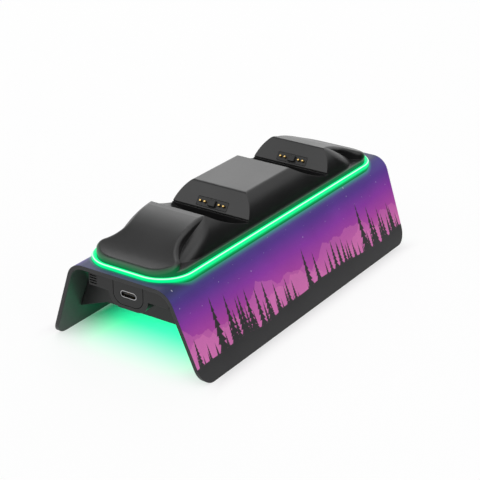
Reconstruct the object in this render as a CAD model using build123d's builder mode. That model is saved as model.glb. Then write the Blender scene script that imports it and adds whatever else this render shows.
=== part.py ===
from build123d import *
import os
from math import cos, degrees, atan2, radians, sin, tan

os.makedirs("parts", exist_ok=True)

# A dock for two game controllers, in millimetres. +Z is up and X runs along the dock,
# with the power inlet at the -X end. The cover stands on z = 0.

# Folded cover
deck_length = 192.0
deck_height = 43.1
fold_half_width = 26.8
flap_tilt = 21.0
fold_radius = 9.5
cover_wall = 2.0
end_rake = 3.5
foot_corner_radius = 8.0

# Light ring: a bead on the deck, a flat foot under the housing's flange and a lip in the deck opening
ring_end_margin = 4.9
ring_half_width = 25.1
ring_corner_radius = 15.0
ring_width = 2.2
ring_rise = 1.6
ring_crown_radius = 0.9
guide_foot = 1.0
guide_ledge = 7.6
lip_wall = 1.2
lip_end_gap = 0.3
slip_fit = 0.1

# Cradle housing: the rim's rise is above the deck, the crown's above the rim
rim_rise = 3.3
rim_round = 0.7
crown_rise = 13.5
crown_half_width = 15.1
hull_half_width = 22.3
hull_bulge = 1.7
nose_setback = 13.9
nose_run = 22.0
nose_round = 7.0
nose_round_limit = 0.55
crest_round = 2.0
crown_round = 2.4
housing_wall = 2.0
boss_radius = 2.4

# Bonnet and tail: the long sloped ends, each flared from a waist out to the rim. Each roof line
# runs through knots, given as shares of the run from rim to crest and of the rise from rim to crown,
# and starts a little outside the rim
bonnet_knots = ((-0.02, 0.06), (0.14, 0.17), (0.36, 0.45), (0.713, 0.881))
tail_knots = ((-0.02, 0.05), (0.14, 0.15), (0.32, 0.36), (0.691, 0.778))
bonnet_proud = 0.05
bonnet_round = 2.2
flare_half_width = 34.3
flare_round = 4.5
waist_run = 17.5
waist_half_width = 15.2
waist_round = 14.0
crest_half_width = 15.9
crest_overrun = 2.0

# Docking stations: the seats' heights are given from the rim
station_pitch = 70.5
front_foot_x = -26.0
face_lean = 53.5
face_foot_rise = 3.6
seat_length = 25.6
seat_floor_drop = 1.8
seat_side_rise = 2.6
seat_fullness = 0.55
seat_sag = 1.0
toe_reach = 0.5
toe_groove = 0.6

# Contacts
contact_pitch = 2.54
contact_inner_u = 4.07
contact_rise = 3.0
contact_proud = 1.3
pin_radius = 0.6
pin_tip_round = 0.45
collar_radius = 0.75
collar_length = 1.0
running_gap = 0.05
barrel_wall = 0.25
barrel_length = 5.2
barrel_end = 0.5
block_half_width = 8.6
block_height = 4.4
block_corner = 0.6
block_web = 1.2
block_flange = 1.4
block_flange_depth = 1.6
locator_half_width = 2.0
locator_height = 3.4
locator_proud = 1.2
locator_round = 0.5
contact_board_half_width = 11.0
contact_board_height = 7.0
contact_board_thickness = 1.2

# Base tray: drops are given from the deck, and the wing's from the tray's floor
tray_inset = 6.8
tray_rim_half_width = 20.0
tray_half_width = 22.4
tray_shoulder_drop = 4.7
tray_wall = 2.0
tray_edge = 2.0
panel_drop = 12.2
lower_inset = 9.2
floor_drop = 24.6
wing_thickness = 3.0
wing_start = 20.0
wing_drop = 6.2
wing_rise = 6.5
wing_gap = 0.4
wing_ribs = 11
wing_rib_pitch = 0.8
wing_rib_width = 0.35
wing_rib_depth = 0.3
wing_rib_length = 16.0
vent_count = 5
vent_pitch = 1.25
vent_width = 0.55
vent_depth = 0.8
vent_run = 4.0
vent_margin = 0.6
vent_first_rise = 1.3

# Power inlet: drops are given from the deck
port_drop = 11.7
port_half_width = 4.47
port_half_height = 1.63
port_wall = 0.3
port_depth = 7.3
port_setback = 0.2
port_clearance = 0.15
tongue_half_width = 3.35
tongue_thickness = 0.7
tongue_setback = 0.8
bezel_half_width = 8.2
bezel_drop = 16.9
bezel_corner = 5.0
bezel_gap = 0.3
chin_half_width = 11.0
chin_drop = 18.9
chin_corner = 6.5

# Boards, lamps, leads and fasteners: runs are given from the main board's front, backs from its rear
ledge_drop = 4.2
ledge_thickness = 1.6
ledge_overlap = 1.4
board_corner = 1.0
ring_board_inner = 14.6
ring_board_thickness = 1.0
lamp_size = 2.0
lamp_height = 0.8
ring_lamps_along = 11
ring_lamp_end_margin = 11.7
ring_lamps_across = 2
ring_lamp_pitch_across = 12.0
main_board_half_width = 7.2
main_board_thickness = 1.6
main_board_end_x = 2.0
board_clearance = 0.5
board_boss_radius = 1.6
board_boss_y = 5.2
board_boss_run = 12.9
board_boss_back = 26.0
board_screw_radius = 0.8
board_screw_head = 1.5
board_screw_head_height = 1.1
board_screw_length = 6.0
chip_size = 7.0
chip_height = 1.0
chip_run = 22.9
coil_size = 4.4
coil_height = 2.4
coil_runs = (32.9, 39.9)
header_length = 4.0
header_half_width = 3.0
header_height = 4.0
rear_header_back = 7.0
lens_half_width = 2.6
lens_end_margin = 7.0
lens_flange = 0.8
lens_flange_thickness = 0.8
lens_side_wall = 0.6
lens_chamber = 1.2
underglow_board_thickness = 1.0
underglow_lamps = 12
underglow_end_margin = 9.5
post_inset = 7.0
post_y = 11.0
post_radius = 3.3
screw_radius = 1.2
screw_head_radius = 2.0
screw_head_height = 1.6
screw_head_drop = 9.0
screw_thread_run = 5.0
harness_radius = 1.1
harness_bend = 3.6
harness_stub = 6.0
harness_drop = 5.0

# Worked out from the sizes above
tilt = radians(flap_tilt)
lean = radians(face_lean)
rim_height = deck_height + rim_rise
crown_height = rim_height + crown_rise
face_foot_height = rim_height + face_foot_rise
seat_floor_height = rim_height - seat_floor_drop
seat_side_height = rim_height + seat_side_rise
ring_half_length = deck_length / 2 - ring_end_margin
stations = {"front": front_foot_x, "rear": front_foot_x + station_pitch}
face_run = (crown_height - face_foot_height) / tan(lean)
crests = {-1: stations["front"] - seat_length, 1: stations["rear"] + face_run}
roofs = {-1: bonnet_knots, 1: tail_knots}
deck_underside = deck_height - cover_wall
bead_inner_half_length = ring_half_length - ring_width / 2
bead_inner_half_width = ring_half_width - ring_width / 2
bead_inner_radius = ring_corner_radius - ring_width / 2
opening_half_length = bead_inner_half_length - guide_ledge
opening_half_width = bead_inner_half_width - guide_ledge
opening_radius = bead_inner_radius - guide_ledge
foot_top = deck_height + guide_foot
rim_half_length = bead_inner_half_length - slip_fit
rim_half_width = bead_inner_half_width - slip_fit
rim_radius = bead_inner_radius - slip_fit
nose_foot_x = rim_half_length - nose_setback
nose_top_x = nose_foot_x - nose_run
nose_corner = min(nose_round, nose_round_limit * crown_rise)
plug_inset = 2 * slip_fit + lip_wall
plug_half_length = opening_half_length - plug_inset
plug_half_width = opening_half_width - plug_inset
cavity_half_length = plug_half_length - housing_wall
cavity_half_width = plug_half_width - housing_wall
cavity_top = crown_height - housing_wall
barrel_radius = collar_radius + running_gap + barrel_wall
board_depth = housing_wall + block_flange_depth
tray_half_length = deck_length / 2 - tray_inset
lower_half_length = tray_half_length - lower_inset
tray_shoulder_height = deck_height - tray_shoulder_drop
panel_bottom = deck_height - panel_drop
floor_height = deck_height - floor_drop
floor_top = floor_height + tray_wall
wing_top = floor_height + wing_rise
port_height = deck_height - port_drop
bezel_bottom = deck_height - bezel_drop
chin_bottom = deck_height - chin_drop
ledge_height = deck_height - ledge_drop
tray_inner_half_length = tray_half_length - tray_wall
main_board_top = port_height - port_half_height
main_board_bottom = main_board_top - main_board_thickness
main_board_front_x = bezel_gap - tray_inner_half_length
main_board_length = main_board_end_x - main_board_front_x
lip_line_half_length = opening_half_length - slip_fit - lip_wall / 2
lip_line_half_width = opening_half_width - slip_fit - lip_wall / 2
ring_board_half_width = tray_rim_half_width - tray_wall - slip_fit
ring_board_half_length = lip_line_half_length + ring_board_half_width - lip_line_half_width
ring_board_top = ledge_height + ring_board_thickness
lip_bottom = ring_board_top + lamp_height + lip_end_gap
screw_seat = floor_height + screw_head_drop
post_xs = (post_inset - cavity_half_length, 0.0, cavity_half_length - post_inset)
post_spots = [(x, y) for x in post_xs for y in (-post_y, post_y)]
board_boss_xs = (main_board_front_x + board_boss_run, main_board_end_x - board_boss_back)
board_boss_spots = [(x, y) for x in board_boss_xs for y in (-board_boss_y, board_boss_y)]
lens_half_length = lower_half_length - wing_thickness - lens_end_margin
lens_rim = floor_top + lens_flange_thickness + lens_chamber
header_top = main_board_top + header_height
contact_outer_u = contact_inner_u + contact_pitch
contact_us = (-contact_outer_u, -contact_inner_u, contact_inner_u, contact_outer_u)
contact_spots = [(u, contact_rise) for u in contact_us]
reach = deck_length


def cover_outline(inset):
    """Outline of the folded cover in the YZ plane, moved inwards by the inset and closed along z = 0."""
    top = deck_height - inset
    shift = inset / cos(tilt)
    corner = fold_half_width + inset * tan(tilt) - shift
    foot = fold_half_width + deck_height * tan(tilt) - shift
    with BuildSketch(Plane.YZ) as outline:
        with BuildLine():
            FilletPolyline((-foot, 0), (-corner, top), (corner, top), (foot, 0), radius=fold_radius - inset)
            Line((-foot, 0), (foot, 0))
        make_face()
    return outline.sketch


def flap_inner(height):
    """Half-width between the flaps' inner faces at a height."""
    return fold_half_width + (deck_height - height) * tan(tilt) - cover_wall / cos(tilt)


def frame_outline(height, half_length, half_width, radius, wall):
    """Rounded rectangular frame on a level plane, with the given outer half sizes and wall."""
    inner_length = half_length - wall
    inner_width = half_width - wall
    with BuildSketch(Plane.XY.offset(height)) as outline:
        RectangleRounded(2 * half_length, 2 * half_width, radius)
        if radius > wall:
            RectangleRounded(2 * inner_length, 2 * inner_width, radius - wall, mode=Mode.SUBTRACT)
        else:
            Rectangle(2 * inner_length, 2 * inner_width, mode=Mode.SUBTRACT)
    return outline.sketch


def face_plane(foot_x, depth=0.0):
    """Plane of a docking face: u runs across, v up the face from its foot, depth into the housing."""
    out = Vector(-sin(lean), 0, cos(lean))
    foot = Vector(foot_x, 0, face_foot_height)
    return Plane(foot - out * depth, x_dir=(0, -1, 0), z_dir=out)


def face_axis(foot_x):
    """Axis out of a docking face, through its foot."""
    return Axis((foot_x, 0, face_foot_height), (-sin(lean), 0, cos(lean)))


def roof_outline():
    """Side view under the cradle's roof: a sloped end, the level crown and the other sloped end."""
    with BuildSketch(Plane.XZ.offset(-reach)) as outline:
        with BuildLine():
            crown_ends = [(crest_x - end * crest_overrun, crown_height) for end, crest_x in crests.items()]
            tips = []
            for end, crown_end in zip(crests, crown_ends):
                run = rim_half_length - abs(crests[end])
                xs = [end * (rim_half_length - along * run) for along, _ in roofs[end]]
                heights = [rim_height + up * crown_rise for _, up in roofs[end]]
                Spline(*zip(xs, heights), crown_end)
                tips.append((xs[0], foot_top))
                Line((xs[0], heights[0]), tips[-1])
            Line(*crown_ends)
            Line(*tips)
        make_face()
    return outline.sketch


def hull_section(edge_round):
    """Section across the cradle's hull: bulged sides and a flat crown with its edges rolled."""
    with BuildSketch(Plane.YZ) as section:
        with BuildLine() as half:
            Line((0, rim_height), (hull_half_width, rim_height))
            SagittaArc((hull_half_width, rim_height), (crown_half_width, crown_height), -hull_bulge)
            Line((crown_half_width, crown_height), (0, crown_height))
            mirror(half.line, about=Plane.YZ)
        make_face()
        if edge_round > 0:
            crown = section.vertices().group_by(Axis.Y)[-1].sort_by(Axis.X)
            fillet([crown[0], crown[-1]], edge_round)
    return section.sketch


def scoop_section(x, floor, side):
    """Section across a seat's hollow at a place along X: a dish from the floor up to each side."""
    half_width = hull_half_width
    top = crown_height + housing_wall
    control = (4 * floor - side) / 3
    shoulder = seat_fullness * half_width
    with BuildSketch(Plane.YZ.offset(x)) as section:
        with BuildLine():
            Bezier((-half_width, side), (-shoulder, control), (shoulder, control), (half_width, side))
            Polyline((half_width, side), (half_width, top), (-half_width, top), (-half_width, side))
        make_face()
    return section.sketch


def roof_height(x):
    """Height of the cavity's roof under the bonnet, the crown or the tail."""
    low = rim_height + housing_wall
    run = cavity_half_length - abs(crests[-1 if x < 0 else 1])
    return low + (cavity_top - low) * min(1.0, (cavity_half_length - abs(x)) / run)


def cavity_outline():
    """Side view of the housing's cavity, a wall inside the outer one, with a valley under each seat."""
    seat_run = (seat_length - toe_reach) / (crown_height - seat_floor_height)
    seat_shift = (housing_wall + seat_sag) * (1 + 1 / seat_run**2) ** 0.5
    face_rate = 1 / tan(lean)
    face_shift = housing_wall / sin(lean)
    meeting = (crown_height - seat_shift) * seat_run + face_foot_height * face_rate
    valley = (meeting - seat_length - face_shift) / (seat_run + face_rate)
    shoulder = rim_height + housing_wall
    points = [(-cavity_half_length, deck_underside), (-cavity_half_length, shoulder)]
    for foot_x in stations.values():
        crest_x = foot_x - seat_length
        points += [
            (crest_x - (seat_shift - housing_wall) * seat_run, cavity_top),
            (foot_x + (valley - face_foot_height) * face_rate + face_shift, valley),
            (foot_x + (cavity_top - face_foot_height) * face_rate + face_shift, cavity_top),
        ]
    points += [(cavity_half_length, shoulder), (cavity_half_length, deck_underside)]
    with BuildSketch(Plane.XZ) as outline:
        with BuildLine():
            Polyline(*points, close=True)
        make_face()
    return outline.sketch


def u_outline(x, half_width, bottom, top, corner):
    """Panel across the dock at a place along X, with its two lower corners rounded."""
    with BuildSketch(Plane.YZ.offset(x)) as outline:
        with BuildLine():
            lower = [(-half_width, bottom), (half_width, bottom)]
            upper = [(half_width, top), (-half_width, top)]
            Polyline(*lower, *upper, close=True)
        make_face()
        fillet(outline.vertices().group_by(Axis.Y)[0], corner)
    return outline.sketch


def mirrored_section(points):
    """Closed outline in the YZ plane from its +Y half, which starts and ends on the middle line."""
    with BuildSketch(Plane.YZ) as outline:
        with BuildLine() as half:
            Polyline(*points)
            mirror(half.line, about=Plane.YZ)
        make_face()
    return outline.sketch


def finish(piece, name):
    """Name a finished piece and write it."""
    piece.part.label = name
    export_step(piece.part, f"parts/{name}.step")


# Cover: one folded sheet with raked ends, round foot corners and an opening for the housing
with BuildPart() as cover_plate:
    extrude(cover_outline(0), amount=reach, both=True)
    extrude(cover_outline(cover_wall), amount=reach, both=True, mode=Mode.SUBTRACT)
    with BuildSketch(Plane.XZ) as side_view:
        with BuildLine():
            half_top = deck_length / 2
            half_foot = half_top - end_rake
            Polyline(
                (-half_foot, 0), (-half_top, deck_height), (half_top, deck_height), (half_foot, 0), close=True
            )
        make_face()
        fillet(side_view.vertices().group_by(Axis.Y)[0], foot_corner_radius)
    extrude(amount=reach, both=True, mode=Mode.INTERSECT)
    with BuildSketch(Plane.XY.offset(deck_height)):
        RectangleRounded(2 * opening_half_length, 2 * opening_half_width, opening_radius)
    extrude(amount=-2 * cover_wall, mode=Mode.SUBTRACT)
finish(cover_plate, "cover_plate")

# Light ring: bead and foot shaped to the cover, then the lip that takes the lamps' light
with BuildPart() as light_ring:
    bead = frame_outline(
        deck_height - fold_radius,
        ring_half_length + ring_width / 2,
        ring_half_width + ring_width / 2,
        ring_corner_radius + ring_width / 2,
        ring_width,
    )
    extrude(bead, amount=fold_radius + ring_rise)
    fillet(light_ring.edges().group_by(Axis.Z)[-1], ring_crown_radius)
    foot = frame_outline(
        deck_height - fold_radius,
        bead_inner_half_length,
        bead_inner_half_width,
        bead_inner_radius,
        guide_ledge + slip_fit + lip_wall,
    )
    extrude(foot, amount=fold_radius + guide_foot)
    extrude(cover_outline(0), amount=reach, both=True, mode=Mode.SUBTRACT)
    lip = frame_outline(
        lip_bottom,
        opening_half_length - slip_fit,
        opening_half_width - slip_fit,
        opening_radius - slip_fit,
        lip_wall,
    )
    extrude(lip, amount=foot_top - lip_bottom)
finish(light_ring, "light_ring")

# Hull of the cradle housing: bulged sides and two sloped noses with round corners
with BuildPart() as hull:
    extrude(hull_section(0), amount=nose_foot_x, both=True)
    with BuildSketch(Plane.XZ):
        with BuildLine():
            Polyline(
                (-nose_foot_x, rim_height),
                (-nose_top_x, crown_height),
                (nose_top_x, crown_height),
                (nose_foot_x, rim_height),
                close=True,
            )
        make_face()
    extrude(amount=reach, both=True, mode=Mode.INTERSECT)
    nose_edges = hull.edges().filter_by(lambda edge: nose_top_x < abs(edge.center().X) < nose_foot_x)
    fillet(nose_edges.filter_by(Axis.Y, reverse=True), nose_corner)
    extrude(hull_section(crown_round), amount=reach, both=True, mode=Mode.INTERSECT)
    extrude(roof_outline(), amount=2 * reach, mode=Mode.INTERSECT)

# Bonnet and tail: the rim's own outline, flared from the waist, up to the roof with rolled edges
tongues = []
for end, crest_x in crests.items():
    flare_x = end * (rim_half_length + housing_wall)
    waist_x = end * (rim_half_length - waist_run)
    with BuildPart() as tongue:
        with BuildSketch(Plane.XY.offset(foot_top)) as plan:
            RectangleRounded(
                2 * (rim_half_length + bonnet_proud),
                2 * (rim_half_width + bonnet_proud),
                rim_radius + bonnet_proud,
            )
            with BuildLine():
                for side in (-1, 1):
                    FilletPolyline(
                        (flare_x, side * flare_half_width),
                        (waist_x, side * waist_half_width),
                        (crest_x, side * crest_half_width),
                        radius=waist_round,
                    )
                Line((flare_x, -flare_half_width), (flare_x, flare_half_width))
                Line((crest_x, -crest_half_width), (crest_x, crest_half_width))
            make_face(mode=Mode.INTERSECT)
            fillet(plan.vertices().group_by(lambda corner: abs(corner.Y))[-1], flare_round)
        extrude(amount=crown_height - foot_top)
        extrude(roof_outline(), amount=2 * reach, mode=Mode.INTERSECT)
        roof = tongue.faces().filter_by(GeomType.EXTRUSION)[0]
        fillet(roof.edges().sort_by(lambda edge: abs(edge.center().X - crest_x))[1:], bonnet_round)
    tongues.append(tongue.part)

# Seats: hollows that fall from a straight crest to a dished toe below the docking face
scoops = []
for foot_x in stations.values():
    crest_x = foot_x - seat_length
    toe_x = foot_x - toe_reach
    middle_floor = (crown_height + seat_floor_height) / 2 - seat_sag
    middle_side = (crown_height + seat_side_height) / 2 - seat_sag
    with BuildPart() as scoop:
        add(scoop_section(crest_x, crown_height, crown_height))
        add(scoop_section((crest_x + toe_x) / 2, middle_floor, middle_side))
        add(scoop_section(toe_x, seat_floor_height, seat_side_height))
        loft()
    scoops.append(scoop.part)

# Top of the cradle: hull, bonnet and tail cut to one side view with two toes and docking faces
with BuildPart() as cradle_top:
    add(hull.part)
    add(tongues)
    outline = [(-reach, foot_top), (-reach, crown_height)]
    for foot_x in stations.values():
        toe_x = foot_x - toe_reach
        outline += [
            (toe_x, crown_height),
            (toe_x, face_foot_height - toe_groove),
            (foot_x + toe_groove, face_foot_height - toe_groove),
            (foot_x, face_foot_height),
            (foot_x + face_run, crown_height),
        ]
    outline += [(reach, crown_height), (reach, foot_top)]
    with BuildSketch(Plane.XZ) as side_view:
        with BuildLine():
            Polyline(*outline, close=True)
        make_face()
        face_tops = side_view.vertices().group_by(Axis.Y)[-1].sort_by(Axis.X)[2:-1:2]
        fillet(face_tops, crest_round)
    extrude(amount=reach, both=True, mode=Mode.INTERSECT)

# Cradle housing: the top on a flange and a plug, hollow, with block pockets and screw bosses
with BuildPart() as cradle_housing:
    with BuildSketch(Plane.XY.offset(foot_top)):
        RectangleRounded(2 * rim_half_length, 2 * rim_half_width, rim_radius)
    extrude(amount=rim_height - foot_top)
    fillet(cradle_housing.edges().group_by(Axis.Z)[-1], rim_round)
    with BuildSketch(Plane.XY.offset(deck_underside)):
        RectangleRounded(2 * plug_half_length, 2 * plug_half_width, opening_radius - plug_inset)
    extrude(amount=rim_height - deck_underside)
    add(cradle_top.part)
    add(scoops, mode=Mode.SUBTRACT)
    extrude(cavity_outline(), amount=cavity_half_width, both=True, mode=Mode.SUBTRACT)
    for foot_x in stations.values():
        with BuildSketch(face_plane(foot_x)):
            with Locations((0, contact_rise)):
                RectangleRounded(2 * (block_half_width + slip_fit), block_height + 2 * slip_fit, block_corner)
        extrude(amount=-2 * housing_wall, mode=Mode.SUBTRACT)
    for post_x in post_xs:
        with BuildSketch(Plane.XY.offset(deck_underside)):
            with Locations((post_x, post_y), (post_x, -post_y)):
                Circle(boss_radius)
        extrude(amount=roof_height(post_x) + housing_wall / 2 - deck_underside)
    with BuildSketch(Plane.XY.offset(deck_underside)):
        with Locations(*post_spots):
            Circle(screw_radius + slip_fit)
    extrude(amount=screw_thread_run + slip_fit, mode=Mode.SUBTRACT)
finish(cradle_housing, "cradle_housing")

# Docking stations: insert with its locating boss, four spring contacts in barrels, and the board behind
for name, foot_x in stations.items():
    with BuildPart() as contact_block:
        with BuildSketch(face_plane(foot_x)):
            with Locations((0, contact_rise)):
                RectangleRounded(2 * block_half_width, block_height, block_corner)
        extrude(amount=-board_depth)
        with BuildSketch(face_plane(foot_x, housing_wall)):
            with Locations((0, contact_rise)):
                RectangleRounded(2 * (block_half_width + block_flange), block_height, block_corner)
        extrude(amount=-block_flange_depth)
        with BuildSketch(face_plane(foot_x)):
            with Locations((0, contact_rise)):
                RectangleRounded(2 * locator_half_width, locator_height, locator_round)
        extrude(amount=locator_proud)
        fillet(contact_block.edges().group_by(face_axis(foot_x))[-1], locator_round)
        with BuildSketch(face_plane(foot_x)):
            with Locations(*contact_spots):
                Circle(pin_radius + running_gap)
        extrude(amount=-block_web, mode=Mode.SUBTRACT)
        with BuildSketch(face_plane(foot_x, block_web)):
            with Locations(*contact_spots):
                Circle(barrel_radius)
        extrude(amount=-board_depth, mode=Mode.SUBTRACT)
    finish(contact_block, f"contact_block_{name}")

    for number, spot in enumerate(contact_spots, 1):
        with BuildPart() as contact_pin:
            with BuildSketch(face_plane(foot_x, -contact_proud)):
                with Locations(spot):
                    Circle(pin_radius)
            extrude(amount=-(contact_proud + block_web + running_gap + collar_length))
            fillet(contact_pin.edges().group_by(face_axis(foot_x))[-1], pin_tip_round)
            with BuildSketch(face_plane(foot_x, block_web + running_gap)):
                with Locations(spot):
                    Circle(collar_radius)
            extrude(amount=-collar_length)
        finish(contact_pin, f"contact_pin_{name}_{number}")

    with BuildPart() as contact_barrels:
        with BuildSketch(face_plane(foot_x, block_web)):
            with Locations(*contact_spots):
                Circle(barrel_radius)
        extrude(amount=-barrel_length)
        with BuildSketch(face_plane(foot_x, block_web)):
            with Locations(*contact_spots):
                Circle(collar_radius + running_gap)
        extrude(amount=barrel_end - barrel_length, mode=Mode.SUBTRACT)
    finish(contact_barrels, f"contact_barrels_{name}")

    with BuildPart() as contact_board:
        with BuildSketch(face_plane(foot_x, board_depth)):
            with Locations((0, contact_rise)):
                RectangleRounded(2 * contact_board_half_width, contact_board_height, board_corner)
            with Locations(*contact_spots):
                Circle(barrel_radius, mode=Mode.SUBTRACT)
        extrude(amount=-contact_board_thickness)
    finish(contact_board, f"contact_board_{name}")

# Base tray: a long box under the deck, with a shorter lower part, a chin at the inlet and wings to the flaps
with BuildPart() as base_tray:
    upper = [
        (0, panel_bottom),
        (tray_half_width, panel_bottom),
        (tray_half_width, tray_shoulder_height),
        (tray_rim_half_width, deck_underside),
        (0, deck_underside),
    ]
    lower = [
        (0, floor_height),
        (tray_half_width - tray_edge, floor_height),
        (tray_half_width, floor_height + tray_edge),
        (tray_half_width, panel_bottom),
        (0, panel_bottom),
    ]
    extrude(mirrored_section(upper), amount=tray_half_length, both=True)
    extrude(mirrored_section(lower), amount=lower_half_length, both=True)
    chin = u_outline(-tray_half_length, chin_half_width, chin_bottom, panel_bottom, chin_corner)
    extrude(chin, amount=tray_half_length - lower_half_length)
    wing_low = floor_height - wing_drop
    wing_tip = (flap_inner(wing_low) - wing_gap, wing_low)
    wing = [
        (0, floor_height),
        (wing_start, floor_height),
        wing_tip,
        (flap_inner(wing_top) - wing_gap, wing_top),
        (0, wing_top),
    ]
    for end in (-1, 1):
        with BuildSketch(Plane.YZ.offset(end * lower_half_length)):
            with BuildLine() as half:
                Polyline(*wing)
                mirror(half.line, about=Plane.YZ)
            make_face()
        extrude(amount=-end * wing_thickness)
    inner_upper = [
        (0, panel_bottom + tray_wall),
        (tray_half_width - tray_wall, panel_bottom + tray_wall),
        (tray_half_width - tray_wall, tray_shoulder_height),
        (tray_rim_half_width - tray_wall, deck_underside),
        (0, deck_underside),
    ]
    inner_lower = [
        (0, floor_top),
        (tray_half_width - tray_wall, floor_top),
        (tray_half_width - tray_wall, tray_shoulder_height),
        (0, tray_shoulder_height),
    ]
    extrude(mirrored_section(inner_upper), amount=tray_inner_half_length, both=True, mode=Mode.SUBTRACT)
    inner_half_length = lower_half_length - wing_thickness
    extrude(mirrored_section(inner_lower), amount=inner_half_length, both=True, mode=Mode.SUBTRACT)
    ledge_wall = tray_half_width - tray_wall - ring_board_half_width + ledge_overlap
    ledge = frame_outline(
        ledge_height - ledge_thickness,
        tray_inner_half_length,
        tray_half_width - tray_wall,
        board_corner,
        ledge_wall,
    )
    extrude(ledge, amount=ledge_thickness)
    with BuildSketch(Plane.XY.offset(floor_top)):
        with Locations(*post_spots):
            Circle(post_radius)
    extrude(amount=deck_underside - floor_top)
    with BuildSketch(Plane.XY.offset(floor_height)):
        with Locations(*post_spots):
            Circle(screw_head_radius + slip_fit)
    extrude(amount=screw_head_drop, mode=Mode.SUBTRACT)
    with BuildSketch(Plane.XY.offset(floor_height)):
        with Locations(*post_spots):
            Circle(screw_radius + slip_fit)
    extrude(amount=reach, mode=Mode.SUBTRACT)
    with BuildSketch(Plane.XY.offset(floor_top)):
        with Locations(*board_boss_spots):
            Circle(board_boss_radius)
    extrude(amount=main_board_bottom - floor_top)
    with BuildSketch(Plane.XY.offset(main_board_bottom)):
        with Locations(*board_boss_spots):
            Circle(board_screw_radius + slip_fit)
    extrude(amount=main_board_thickness - board_screw_length - slip_fit, mode=Mode.SUBTRACT)
    with BuildSketch(Plane.XY.offset(floor_height)):
        SlotOverall(2 * (lens_half_length + slip_fit), 2 * (lens_half_width + slip_fit))
    extrude(amount=tray_wall, mode=Mode.SUBTRACT)
    board_way = [
        (0, main_board_bottom - board_clearance),
        (main_board_half_width + board_clearance, main_board_bottom - board_clearance),
        (main_board_half_width + board_clearance, ledge_height - ledge_thickness),
        (0, ledge_height - ledge_thickness),
    ]
    with BuildSketch(Plane.YZ.offset(-tray_inner_half_length)):
        with BuildLine() as half:
            Polyline(*board_way)
            mirror(half.line, about=Plane.YZ)
        make_face()
    extrude(amount=tray_inner_half_length - lower_half_length + wing_thickness, mode=Mode.SUBTRACT)
    bezel_seat = u_outline(
        -tray_half_length,
        bezel_half_width + bezel_gap,
        bezel_bottom - bezel_gap,
        deck_underside,
        bezel_corner + bezel_gap,
    )
    extrude(bezel_seat, amount=tray_wall, mode=Mode.SUBTRACT)
    rib_angle = degrees(atan2(wing_tip[1] - floor_height, wing_tip[0] - wing_start))
    for end in (-1, 1):
        with BuildSketch(Plane.YZ.offset(end * lower_half_length)):
            middle_y = (wing_start + wing_tip[0]) / 2
            middle_z = (floor_height + wing_tip[1]) / 2
            for step in range(1, wing_ribs + 1):
                with Locations((-middle_y, middle_z + step * wing_rib_pitch)):
                    Rectangle(wing_rib_length, wing_rib_width, rotation=-rib_angle)
        extrude(amount=-end * wing_rib_depth, mode=Mode.SUBTRACT)
        with BuildSketch(Plane.YZ.offset(end * tray_half_length)):
            vent_y = tray_half_width - vent_margin - vent_run / 2
            for step in range(vent_count):
                with Locations((vent_y, panel_bottom + vent_first_rise + step * vent_pitch)):
                    Rectangle(vent_run, vent_width)
        extrude(amount=-end * vent_depth, mode=Mode.SUBTRACT)
finish(base_tray, "base_tray")

# Power inlet: bezel, metal shell and tongue
port_front_x = port_setback - tray_half_length
with BuildPart() as port_bezel:
    bezel = u_outline(-tray_half_length, bezel_half_width, bezel_bottom, deck_underside, bezel_corner)
    extrude(bezel, amount=tray_wall)
    with BuildSketch(Plane.YZ.offset(-tray_half_length)):
        with Locations((0, port_height)):
            SlotOverall(2 * (port_half_width + port_clearance), 2 * (port_half_height + port_clearance))
    extrude(amount=tray_wall, mode=Mode.SUBTRACT)
finish(port_bezel, "port_bezel")

with BuildPart() as usb_shell:
    with BuildSketch(Plane.YZ.offset(port_front_x)):
        with Locations((0, port_height)):
            SlotOverall(2 * port_half_width, 2 * port_half_height)
    extrude(amount=port_depth)
    with BuildSketch(Plane.YZ.offset(port_front_x)):
        with Locations((0, port_height)):
            SlotOverall(2 * (port_half_width - port_wall), 2 * (port_half_height - port_wall))
    extrude(amount=port_depth - port_wall, mode=Mode.SUBTRACT)
finish(usb_shell, "usb_shell")

with BuildPart() as usb_tongue:
    with BuildSketch(Plane.YZ.offset(port_front_x + tongue_setback)):
        with Locations((0, port_height)):
            RectangleRounded(2 * tongue_half_width, tongue_thickness, tongue_thickness / 3)
    extrude(amount=port_depth - port_wall - tongue_setback)
finish(usb_tongue, "usb_tongue")

# Main board with its parts: a controller chip, two coils and a header for each lead
lead_depth = board_depth + contact_board_thickness
front_header_x = face_plane(front_foot_x, lead_depth + harness_stub).from_local_coords((0, contact_rise, 0)).X
header_xs = {"front": front_header_x, "rear": main_board_end_x - rear_header_back}
with BuildPart() as main_board:
    with BuildSketch(Plane.XY.offset(main_board_bottom)):
        with Locations((main_board_front_x + main_board_length / 2, 0)):
            RectangleRounded(main_board_length, 2 * main_board_half_width, board_corner)
        with Locations(*board_boss_spots):
            Circle(board_screw_radius + slip_fit, mode=Mode.SUBTRACT)
    extrude(amount=main_board_thickness)
finish(main_board, "main_board")

with BuildPart() as main_board_chips:
    with BuildSketch(Plane.XY.offset(main_board_top)):
        with Locations((main_board_front_x + chip_run, 0)):
            Rectangle(chip_size, chip_size)
    extrude(amount=chip_height)
    with BuildSketch(Plane.XY.offset(main_board_top)):
        with Locations(*[(main_board_front_x + run, 0) for run in coil_runs]):
            RectangleRounded(coil_size, coil_size, board_corner)
    extrude(amount=coil_height)
    with BuildSketch(Plane.XY.offset(main_board_top)):
        with Locations(*[(x, 0) for x in header_xs.values()]):
            Rectangle(header_length, 2 * header_half_width)
    extrude(amount=header_height)
finish(main_board_chips, "main_board_chips")

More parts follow.
